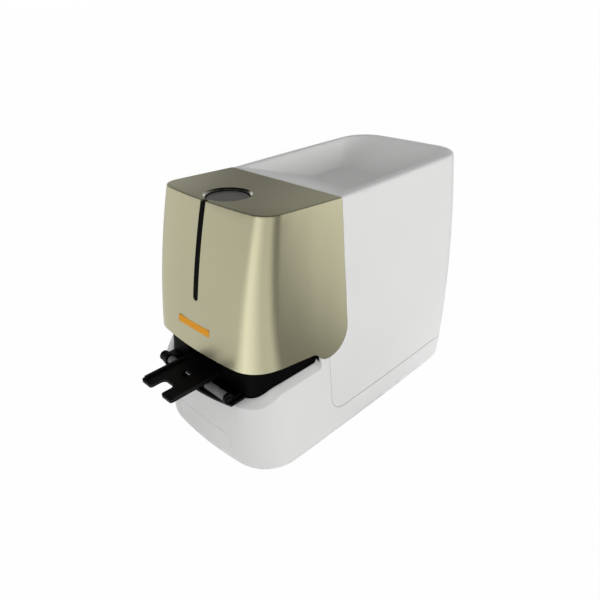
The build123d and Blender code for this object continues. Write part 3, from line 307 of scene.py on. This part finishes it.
def finishPiece(work, pieceName, nodeName, slotName=None, replaced=False, smoothAngle=32):
    # A bmesh made an object, smooth but for its sharp edges, riding where its node does
    slotName = slotName or slotOf[nodeName]
    mesh = bpy.data.meshes.new(pieceName)
    work.to_mesh(mesh)
    work.free()
    for polygon in mesh.polygons:
        polygon.use_smooth = True
    mesh.set_sharp_from_angle(angle=math.radians(smoothAngle))
    mesh.materials.append(slotMaterials[slotName])
    piece = bpy.data.objects.new(pieceName, mesh)
    bpy.context.scene.collection.objects.link(piece)
    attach(piece, bodyOf[nodeName])
    if replaced:
        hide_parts(nodeName)
    print("piece", pieceName, len(mesh.polygons), "faces")
    return piece


def mergedCopy(nodeName):
    # The node's loose triangles merged, and its flat faces made whole again
    work = bmesh.new()
    work.from_mesh(nodes[nodeName].data)
    bmesh.ops.remove_doubles(work, verts=work.verts, dist=nodeWeld)
    bmesh.ops.dissolve_limit(work, angle_limit=flatWithin, verts=work.verts, edges=work.edges,
                             use_dissolve_boundaries=False)
    return work


def breakEdges(piece, width, sharpest=40):
    bevel = piece.modifiers.new("brokenEdges", "BEVEL")
    bevel.limit_method = "ANGLE"
    bevel.angle_limit = math.radians(sharpest)
    bevel.width = width
    bevel.segments = 2
    bevel.harden_normals = True


def turnedBody(work, profile, centre, axis, steps=48):
    # An outline of (radius, distance along the axis) in mm, turned about an axis through the centre
    along = Vector(axis)
    across = along.orthogonal().normalized()
    points = [work.verts.new(centre + across * r * mm + along * d * mm) for r, d in profile]
    edges = [work.edges.new(pair) for pair in zip(points, points[1:])]
    bmesh.ops.spin(work, geom=points + edges, cent=centre, axis=axis, angle=2 * math.pi, steps=steps,
                   use_merge=True)
    bmesh.ops.remove_doubles(work, verts=work.verts, dist=bodyWeld)
    bmesh.ops.recalc_face_normals(work, faces=work.faces)


def boxBody(work, low, high):
    # An upright block between two corners, in metres
    size = Vector(high) - Vector(low)
    place = Matrix.Translation((Vector(low) + Vector(high)) / 2) @ Matrix.Diagonal((*size, 1))
    bmesh.ops.create_cube(work, size=1.0, matrix=place)


def skinBody(work, rings):
    # Rings of places in metres, each bridged to the next, with both ends closed
    loops = []
    for ring in rings:
        points = [work.verts.new(place) for place in ring]
        loops.append([work.edges.new(pair) for pair in zip(points, points[1:] + points[:1])])
    for near, far in zip(loops, loops[1:]):
        bmesh.ops.bridge_loops(work, edges=near + far)
    for end in (loops[0], loops[-1]):
        bmesh.ops.contextual_create(work, geom=end)


# Pieces

# CAD nodes whose edges show: the name of the copy and the width of its broken edge
brokenEdges = {
    "front_cover": ("champagneCover", 0.35),
    "base_shell": ("lowerHousing", 0.35),
    "rear_cover": ("rearHousing", 0.35),
    "top_tray": ("basinTray", 0.5),
    "drawer_front": ("drawerPanel", 0.35),
    "drawer_box": ("drawerBin", 0.25),
    "plate_tray": ("forkedTray", 0.3),
    "roller_bracket": ("rollerBracket", 0.3),
    "fascia": ("mouthFascia", 0.3),
    "start_button": ("startButtonDisc", 0.2),
    "button_ring": ("buttonRing", 0.08),
    "label_bar": ("labelBar", 0.08),
    "rear_panel": ("rearPanelSheet", 0.2),
    "switch_housing": ("switchBezel", 0.3),
    "rocker_switch": ("switchRocker", 0.3),
    "usb_socket": ("usbShell", 0.15),
    "dc_inlet": ("inletShell", 0.2),
}


# How far from the label bar's box the pocket behind it reaches, and how level its long edges are
labelPocket = {"aside": 0.2, "behind": 0.5, "level": 0.1}


def closeLabelPocket(work):
    # The pocket is bridged over where the bar hides it, so that its edges don't bend the shading of the cover
    aside, behind, level = (labelPocket[key] * mm for key in ("aside", "behind", "level"))
    low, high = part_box("label_bar")
    inside = {v for v in work.verts if low[0] - aside < v.co.x < high[0] + aside
              and low[2] - aside < v.co.z < high[2] + aside and v.co.y < high[1] + behind}
    pocket = [f for f in work.faces if all(v in inside for v in f.verts)]
    rim = dict.fromkeys(e for f in pocket for e in f.edges if any(other not in pocket for other in e.link_faces))
    long = [e for e in rim if abs(e.verts[0].co.z - e.verts[1].co.z) < level]
    bmesh.ops.delete(work, geom=pocket, context="FACES")
    bmesh.ops.bridge_loops(work, edges=long)


for nodeName, (pieceName, width) in brokenEdges.items():
    work = mergedCopy(nodeName)
    if nodeName == "front_cover":
        closeLabelPocket(work)
    piece = finishPiece(work, pieceName, nodeName, replaced=True)
    breakEdges(piece, width * mm)
# The mouth fascia gets the darker copy of the black ABS, which is painted shade for the recess under the cover
bpy.data.objects[brokenEdges["fascia"][0]].data.materials[0] = mouthShadeBlackAbs
print("CAD nodes with broken edges")

# Ground rubber sleeve on a stepped hub, with shallow grooves that grip the plate
rollerSleeve = {"bore": 1.56, "hub": 2.5, "step": 0.7, "round": 0.35, "grooves": 5, "grooveHalf": 0.35,
                "grooveDeep": 0.18, "grooved": 0.85}


def rollerProfile(radius, half):
    look = rollerSleeve
    bore, hub, edge = look["bore"], look["hub"], look["round"]
    far = half - look["step"]
    outer = [(bore, -half), (hub, -half), (hub, -far), (radius - edge, -far), (radius, edge - far)]
    for i in range(look["grooves"]):
        at = (2 * i + 1 - look["grooves"]) * look["grooved"] * half / look["grooves"]
        wide = look["grooveHalf"]
        deep = radius - look["grooveDeep"]
        outer += [(radius, at - wide), (deep, at - wide / 2), (deep, at + wide / 2), (radius, at + wide)]
    return outer + [(radius, far - edge), (radius - edge, far), (hub, far), (hub, half), (bore, half), (bore, -half)]


for nodeName, pieceName in (("left_roller", "leftRubberSleeve"), ("right_roller", "rightRubberSleeve")):
    low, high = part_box(nodeName)
    half = (high - low) / 2 / mm
    work = bmesh.new()
    turnedBody(work, rollerProfile(half[2], half[0]), Vector((low + high) / 2), (1, 0, 0))
    finishPiece(work, pieceName, nodeName, replaced=True)

# Push-on axle caps with a domed face
axleCap = {"round": 0.5, "crown": 0.25}


def capProfile(radius, thick):
    edge, crown = axleCap["round"], axleCap["crown"]
    return [(0, 0), (radius, 0), (radius, thick - edge - crown), (radius - edge, thick - crown),
            (radius / 2, thick), (0, thick)]


capLow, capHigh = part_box("axle_caps")
axleLow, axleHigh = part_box("roller_axle")
axleY, axleZ = (axleLow[1] + axleHigh[1]) / 2, (axleLow[2] + axleHigh[2]) / 2
work = bmesh.new()
for side in (-1, 1):
    turnedBody(work, capProfile((capHigh[2] - capLow[2]) / 2 / mm, (capHigh[0] - axleHigh[0]) / mm),
               Vector((side * axleHigh[0], axleY, axleZ)), (side, 0, 0))
finishPiece(work, "axleCapPair", "axle_caps", replaced=True)

# Moulded silicone feet: a rounded pad with a ring groove in its sole
footPad = {"radius": 8.0, "round": 0.6, "groove": 4.6, "grooveHalf": 0.5, "grooveDeep": 0.4, "steps": 40}


def footProfile(thick):
    radius, edge, inner = footPad["radius"], footPad["round"], footPad["groove"]
    wide, deep = footPad["grooveHalf"], footPad["grooveDeep"]
    sole = [(0, 0), (inner - wide, 0), (inner - wide / 2, deep), (inner + wide / 2, deep), (inner + wide, 0)]
    return sole + [(radius - edge, 0), (radius - edge / 4, edge / 4), (radius, edge), (radius, thick), (0, thick)]


footLow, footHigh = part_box("rubber_feet")
inset = footPad["radius"] * mm
work = bmesh.new()
for x in (footLow[0] + inset, footHigh[0] - inset):
    for y in (footLow[1] + inset, footHigh[1] - inset):
        turnedBody(work, footProfile((footHigh[2] - footLow[2]) / mm), Vector((x, y, footLow[2])), (0, 0, 1),
                   footPad["steps"])
finishPiece(work, "siliconeFeet", "rubber_feet", replaced=True)
print("rollers, axle caps and feet")

# Fan: the moulded frame, round guard wires behind the panel, and a rotor with cambered blades. Angles are in degrees
guard = {"radii": (8.0, 15.0, 22.0, 29.5), "wire": 0.8, "reach": 34.0, "arms": (45, 135, 225, 315),
         "segments": 12, "steps": 72, "cut": 0.2}
# The hub's rounding and dish are given as (distance inwards, distance from the rear face)
fanHub = {"radius": 15.5, "stub": 1.5, "stubLong": 3.0, "chamfer": 0.6, "steps": 64,
          "rounding": ((0, 1.4), (0.4, 0.5), (1.4, 0.1)), "dish": 11.0, "dishing": ((0, 0.1), (0.2, 0.3))}
fanBlades = {"count": 7, "root": 14.2, "tip": 26.8, "chord": 12.5, "pitch": (44, 27), "lead": -26, "camber": 0.10,
             "thick": (1.3, 0.7), "rear": 1.5, "stations": 8, "steps": 10}
fanLow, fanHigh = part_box("cooling_fan")
rotorLow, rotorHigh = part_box("fan_rotor")
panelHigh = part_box("rear_panel")[1]
fanMiddle = Vector((0, 0, (fanLow[2] + fanHigh[2]) / 2))


def fanFrame():
    # The node's own frame, without the guard that stands behind the panel
    work = mergedCopy("cooling_fan")
    guardStart = panelHigh[1] - guard["cut"] * mm
    bmesh.ops.delete(work, geom=[v for v in work.verts if v.co.y > guardStart], context="VERTS")
    return work


def wireRing(work, centre, radius, wire):
    # A round wire bent to a ring that stands upright, facing the rear
    start = centre + Vector((radius, 0, 0))
    made = bmesh.ops.create_circle(work, segments=guard["segments"], radius=wire, matrix=Matrix.Translation(start))
    edges = list(dict.fromkeys(edge for vert in made["verts"] for edge in vert.link_edges))
    bmesh.ops.spin(work, geom=made["verts"] + edges, cent=centre, axis=(0, 1, 0), angle=2 * math.pi,
                   steps=guard["steps"], use_merge=True)


def wireArm(work, start, end, wire):
    along = end - start
    turn = along.to_track_quat("Z", "Y").to_matrix().to_4x4()
    bmesh.ops.create_cone(work, cap_ends=True, segments=guard["segments"], radius1=wire, radius2=wire,
                          depth=along.length, matrix=Matrix.Translation((start + end) / 2) @ turn)


def addGuard(work):
    wire = guard["wire"] * mm
    middle = Vector((0, panelHigh[1] + wire, fanMiddle.z))
    for radius in guard["radii"]:
        wireRing(work, middle, radius * mm, wire)
    for arm in guard["arms"]:
        turn = math.radians(arm)
        ray = Vector((math.cos(turn), 0, math.sin(turn)))
        wireArm(work, middle + ray * guard["radii"][0] * mm, middle + ray * guard["reach"] * mm, wire)
    bmesh.ops.remove_doubles(work, verts=work.verts, dist=bodyWeld)
    bmesh.ops.recalc_face_normals(work, faces=work.faces)


def hubProfile(half):
    # A stub of the shaft in front, then the hub: chamfered, rounded at the rear and dished in its rear face
    radius, stub, edge, dish = (fanHub[key] for key in ("radius", "stub", "chamfer", "dish"))
    front = fanHub["stubLong"] - half
    rounded = [(radius - inward, half - down) for inward, down in fanHub["rounding"]]
    dished = [(dish - inward, half - down) for inward, down in fanHub["dishing"]]
    return [(0, -half), (stub, -half), (stub, front), (radius - edge, front), (radius, front + edge),
            *rounded, *dished, (0, dished[-1][1])]


def bladePlace(station, chord, side, spun):
    # A place on a blade's skin: station 0 at the hub to 1 at the tip, chord 0 to 1, side -1 or 1.
    # The blade thins to nothing at both edges of its chord, and its sweep grows faster towards the tip
    look = fanBlades
    radius = look["root"] + station * (look["tip"] - look["root"])
    pitch = math.radians(look["pitch"][0] + station * (look["pitch"][1] - look["pitch"][0]))
    thick = look["thick"][0] + station * (look["thick"][1] - look["thick"][0])
    across = 2 * chord - 1
    along = across / 2 * look["chord"]
    lift = look["camber"] * look["chord"] * (1 - across ** 2) + side * thick / 2 * math.sqrt(1 - across ** 4)
    around = along * math.cos(pitch) - lift * math.sin(pitch)
    depth = along * math.sin(pitch) + lift * math.cos(pitch) + look["rear"]
    turn = around / radius + math.radians(look["lead"]) * station ** 1.5 + spun
    return Vector((radius * math.cos(turn), depth, radius * math.sin(turn))) * mm


def addRotor(work):
    # The hub, then each blade as a closed skin round its two sides
    middle = Vector((0, (rotorLow[1] + rotorHigh[1]) / 2, fanMiddle.z))
    turnedBody(work, hubProfile((rotorHigh[1] - rotorLow[1]) / 2 / mm), middle, (0, 1, 0), fanHub["steps"])
    look = fanBlades
    chords = [i / look["steps"] for i in range(look["steps"] + 1)]
    outline = [(c, 1) for c in chords] + [(c, -1) for c in reversed(chords[1:-1])]
    stations = [i / look["stations"] for i in range(look["stations"] + 1)]
    for blade in range(look["count"]):
        spun = 2 * math.pi * blade / look["count"]
        skinBody(work, [[middle + bladePlace(station, chord, side, spun) for chord, side in outline]
                        for station in stations])
    bmesh.ops.recalc_face_normals(work, faces=work.faces)


work = fanFrame()
addGuard(work)
finishPiece(work, "fanFrameAndGuard", "cooling_fan", replaced=True)
work = bmesh.new()
addRotor(work)
finishPiece(work, "fanRotorBlades", "fan_rotor", replaced=True, smoothAngle=45)

# Button head screws with a hexagon socket, at the corners of the panel and of the fan
panelScrew = {"radius": 2.9, "high": 1.5, "socket": 1.15, "lip": 0.05, "deep": 0.9, "segments": 24,
              "dome": ((1.0, 0.0), (1.0, 0.3), (0.93, 0.8), (0.75, 1.2), (0.58, 1.5))}
panelCorners = [(x, z) for x in (-42, 42) for z in (42, 150)]
fanCorners = [(x, fanMiddle.z / mm + z) for x in (-25, 25) for z in (-25, 25)]


def hexagonReach(turn):
    # How far a hexagon reaches at an angle, when its flats are at a distance of 1
    return 1 / math.cos((turn + math.pi / 6) % (math.pi / 3) - math.pi / 6)


def addPanelScrew(work, x, z):
    look = panelScrew
    turns = [2 * math.pi * i / look["segments"] for i in range(look["segments"])]
    head = [([share * look["radius"]] * len(turns), high) for share, high in look["dome"]]
    socket = [look["socket"] * hexagonReach(turn) for turn in turns]
    head += [(socket, look["high"] - look["lip"]), (socket, look["high"] - look["deep"])]
    rings = []
    for reaches, high in head:
        y = panelHigh[1] + high * mm
        rings.append([((x + r * math.cos(t)) * mm, y, (z + r * math.sin(t)) * mm) for r, t in zip(reaches, turns)])
    skinBody(work, rings)


work = bmesh.new()
for x, z in panelCorners + fanCorners:
    addPanelScrew(work, x, z)
bmesh.ops.recalc_face_normals(work, faces=work.faces)
finishPiece(work, "panelScrews", "chassis_screws")

# The tongue inside the USB socket, with its four contacts
usbTongue = {"half": 2.8, "thick": 2.8, "start": 140.6, "end": 148.2}
usbContact = {"aside": 1.3, "half": 0.35, "raised": 0.15, "short": 0.8}
usbLow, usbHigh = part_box("usb_socket")
usbX, usbZ = (usbLow[0] + usbHigh[0]) / 2, (usbLow[2] + usbHigh[2]) / 2
half, thick, start, end = (usbTongue[key] * mm for key in ("half", "thick", "start", "end"))
work = bmesh.new()
boxBody(work, (usbX - half, start, usbZ - thick / 2), (usbX + half, end, usbZ + thick / 2))
finishPiece(work, "usbTongue", "usb_socket", "white_shell")
aside, half, raised, short = (usbContact[key] * mm for key in ("aside", "half", "raised", "short"))
work = bmesh.new()
for side in (-1, 1):
    low, high = sorted((usbZ + side * thick / 2, usbZ + side * (thick / 2 + raised)))
    for x in (usbX - aside, usbX + aside):
        boxBody(work, (x - half, start, low), (x + half, end - short, high))
finishPiece(work, "usbContacts", "usb_socket", "brass")
print("fan, screws and socket")


# Stage and camera

# The studio's brightness round the circle, in even steps from -X by way of -Y, +X and +Y: first the light that
# falls on the housing, then what its shiny faces mirror. Walls fade into the upper walls, and these into the ceiling
daylight = {"walls": (0.86, 1.01, 2.54, 4.11, 2.84, 1.57), "upper": (1.24, 0.0, 0.0), "ceiling": 0.35}
mirrored = {
    "walls": (0.58, 0.76, 0.66, 0.64, 0.61, 1.30, 0.98, 0.58, 0.71, 0.07, 0.19, 0.71, 1.73, 0.28, 0.16, 0.65,
              0.11, 0.72),
    "upper": (0.0, 0.0, 0.0, 0.0, 0.0, 0.32), "ceiling": 0.0,
}
studio = {"size": 60.0, "paper": "#f4f4f4", "seenWhite": 0.98, "brightest": 4.2, "wallTop": (0.15, 0.45),
          "upperTop": (0.45, 0.8)}


def levelsRound(tree, parts, levels):
    # A closed ring of brightness by azimuth, as a share of the brightest
    turn = addNode(tree, "ShaderNodeMath", {"operation": "ARCTAN2"},
                   links={0: parts.outputs[1], 1: parts.outputs[0]})
    share = addNode(tree, "ShaderNodeMapRange", links={"Value": turn.outputs[0]},
                    inputs={"From Min": -math.pi, "From Max": math.pi})
    ramp = addNode(tree, "ShaderNodeValToRGB", links={0: share.outputs[0]})
    stops = ramp.color_ramp.elements
    for i in range(1, len(levels)):
        stops.new(i / len(levels))
    closed = [level / studio["brightest"] for level in levels + levels[:1]]
    for i, (stop, level) in enumerate(zip(stops, closed)):
        stop.position = i / len(levels)
        stop.color = (level, level, level, 1.0)
    return ramp.outputs[0]


def roomColour(tree, parts, look):
    # The wall's ring below, the upper ring above it and the ceiling on top; height is the sine of the climb
    below = levelsRound(tree, parts, look["walls"])
    for above, (low, high) in ((levelsRound(tree, parts, look["upper"]), studio["wallTop"]),
                               (None, studio["upperTop"])):
        climb = addNode(tree, "ShaderNodeMapRange", links={"Value": parts.outputs[2]},
                        inputs={"From Min": low, "From Max": high})
        links = {0: climb.outputs[0], 6: below}
        if above:
            links[7] = above
        level = look["ceiling"] / studio["brightest"]
        below = addNode(tree, "ShaderNodeMix", {"data_type": "RGBA"}, inputs={7: (level, level, level, 1.0)},
                        links=links).outputs[2]
    return below


def shinyRay(tree, ray):
    return addNode(tree, "ShaderNodeMath", {"operation": "MAXIMUM"}, links={
        0: ray.outputs["Is Glossy Ray"], 1: ray.outputs["Is Transmission Ray"]}).outputs[0]


def makeFloor():
    work = bmesh.new()
    bmesh.ops.create_grid(work, x_segments=1, y_segments=1, size=studio["size"] / 2)
    mesh = bpy.data.meshes.new("studioFloor")
    work.to_mesh(mesh)
    work.free()
    floor = bpy.data.objects.new("studioFloor", mesh)
    bpy.context.scene.collection.objects.link(floor)
    material = bpy.data.materials.new("whitePaperSweep")
    material.use_nodes = True
    tree = material.node_tree
    tree.nodes.clear()
    ray = addNode(tree, "ShaderNodeLightPath")
    place = addNode(tree, "ShaderNodeTexCoord").outputs["Object"]
    parts = addNode(tree, "ShaderNodeSeparateXYZ", links={0: place})
    paper = addNode(tree, "ShaderNodeBsdfDiffuse", inputs={"Color": toLinear(studio["paper"])})
    white = addNode(tree, "ShaderNodeEmission", inputs={"Color": (1, 1, 1, 1), "Strength": 1.0})
    image = addNode(tree, "ShaderNodeEmission", inputs={"Strength": studio["brightest"]},
                    links={"Color": levelsRound(tree, parts, mirrored["walls"])})
    first = addNode(tree, "ShaderNodeMixShader", links={
        0: shinyRay(tree, ray), 1: paper.outputs[0], 2: image.outputs[0]})
    seen = addNode(tree, "ShaderNodeMath", {"operation": "MULTIPLY"}, inputs={1: studio["seenWhite"]},
                   links={0: ray.outputs["Is Camera Ray"]})
    second = addNode(tree, "ShaderNodeMixShader", links={
        0: seen.outputs[0], 1: first.outputs[0], 2: white.outputs[0]})
    addNode(tree, "ShaderNodeOutputMaterial", links={"Surface": second.outputs[0]})
    mesh.materials.append(material)


def makeRoom():
    world = bpy.data.worlds.new("studioRoom")
    bpy.context.scene.world = world
    world.use_nodes = True
    tree = world.node_tree
    tree.nodes.clear()
    ray = addNode(tree, "ShaderNodeLightPath")
    towards = addNode(tree, "ShaderNodeTexCoord").outputs["Generated"]
    parts = addNode(tree, "ShaderNodeSeparateXYZ", links={0: towards})
    light, image = (addNode(tree, "ShaderNodeBackground", inputs={"Strength": studio["brightest"]},
                            links={"Color": roomColour(tree, parts, look)}) for look in (daylight, mirrored))
    white = addNode(tree, "ShaderNodeBackground", inputs={"Color": (1, 1, 1, 1), "Strength": 1.0})
    first = addNode(tree, "ShaderNodeMixShader", links={
        0: shinyRay(tree, ray), 1: light.outputs[0], 2: image.outputs[0]})
    second = addNode(tree, "ShaderNodeMixShader", links={
        0: ray.outputs["Is Camera Ray"], 1: first.outputs[0], 2: white.outputs[0]})
    addNode(tree, "ShaderNodeOutputWorld", links={"Surface": second.outputs[0]})


makeFloor()
makeRoom()
print("stage and room")

# Where the photograph was taken from, found from the outline of the housing
view = {
    "place": (0.34317, -0.33171, 0.36456), "down": 28.653, "turn": 45.557, "roll": -2.03,
    "lens": 33.682, "shift": (-0.01055, -0.00512),
}


def makeCamera():
    down, turn, roll = (math.radians(view[key]) for key in ("down", "turn", "roll"))
    ahead = Vector((-math.sin(turn) * math.cos(down), math.cos(turn) * math.cos(down), -math.sin(down)))
    level = Vector((math.cos(turn), math.sin(turn), 0))
    upright = level.cross(ahead)
    right = math.cos(roll) * level + math.sin(roll) * upright
    up = -math.sin(roll) * level + math.cos(roll) * upright
    data = bpy.data.cameras.new("photoCamera")
    data.lens = view["lens"]
    data.sensor_width = 36.0
    data.shift_x, data.shift_y = view["shift"]
    data.clip_start = 0.01
    camera = bpy.data.objects.new("photoCamera", data)
    bpy.context.scene.collection.objects.link(camera)
    camera.matrix_world = Matrix.Translation(view["place"]) @ Matrix((right, up, -ahead)).transposed().to_4x4()
    bpy.context.scene.camera = camera


makeCamera()
bpy.context.scene.view_settings.view_transform = "Standard"
print("camera")
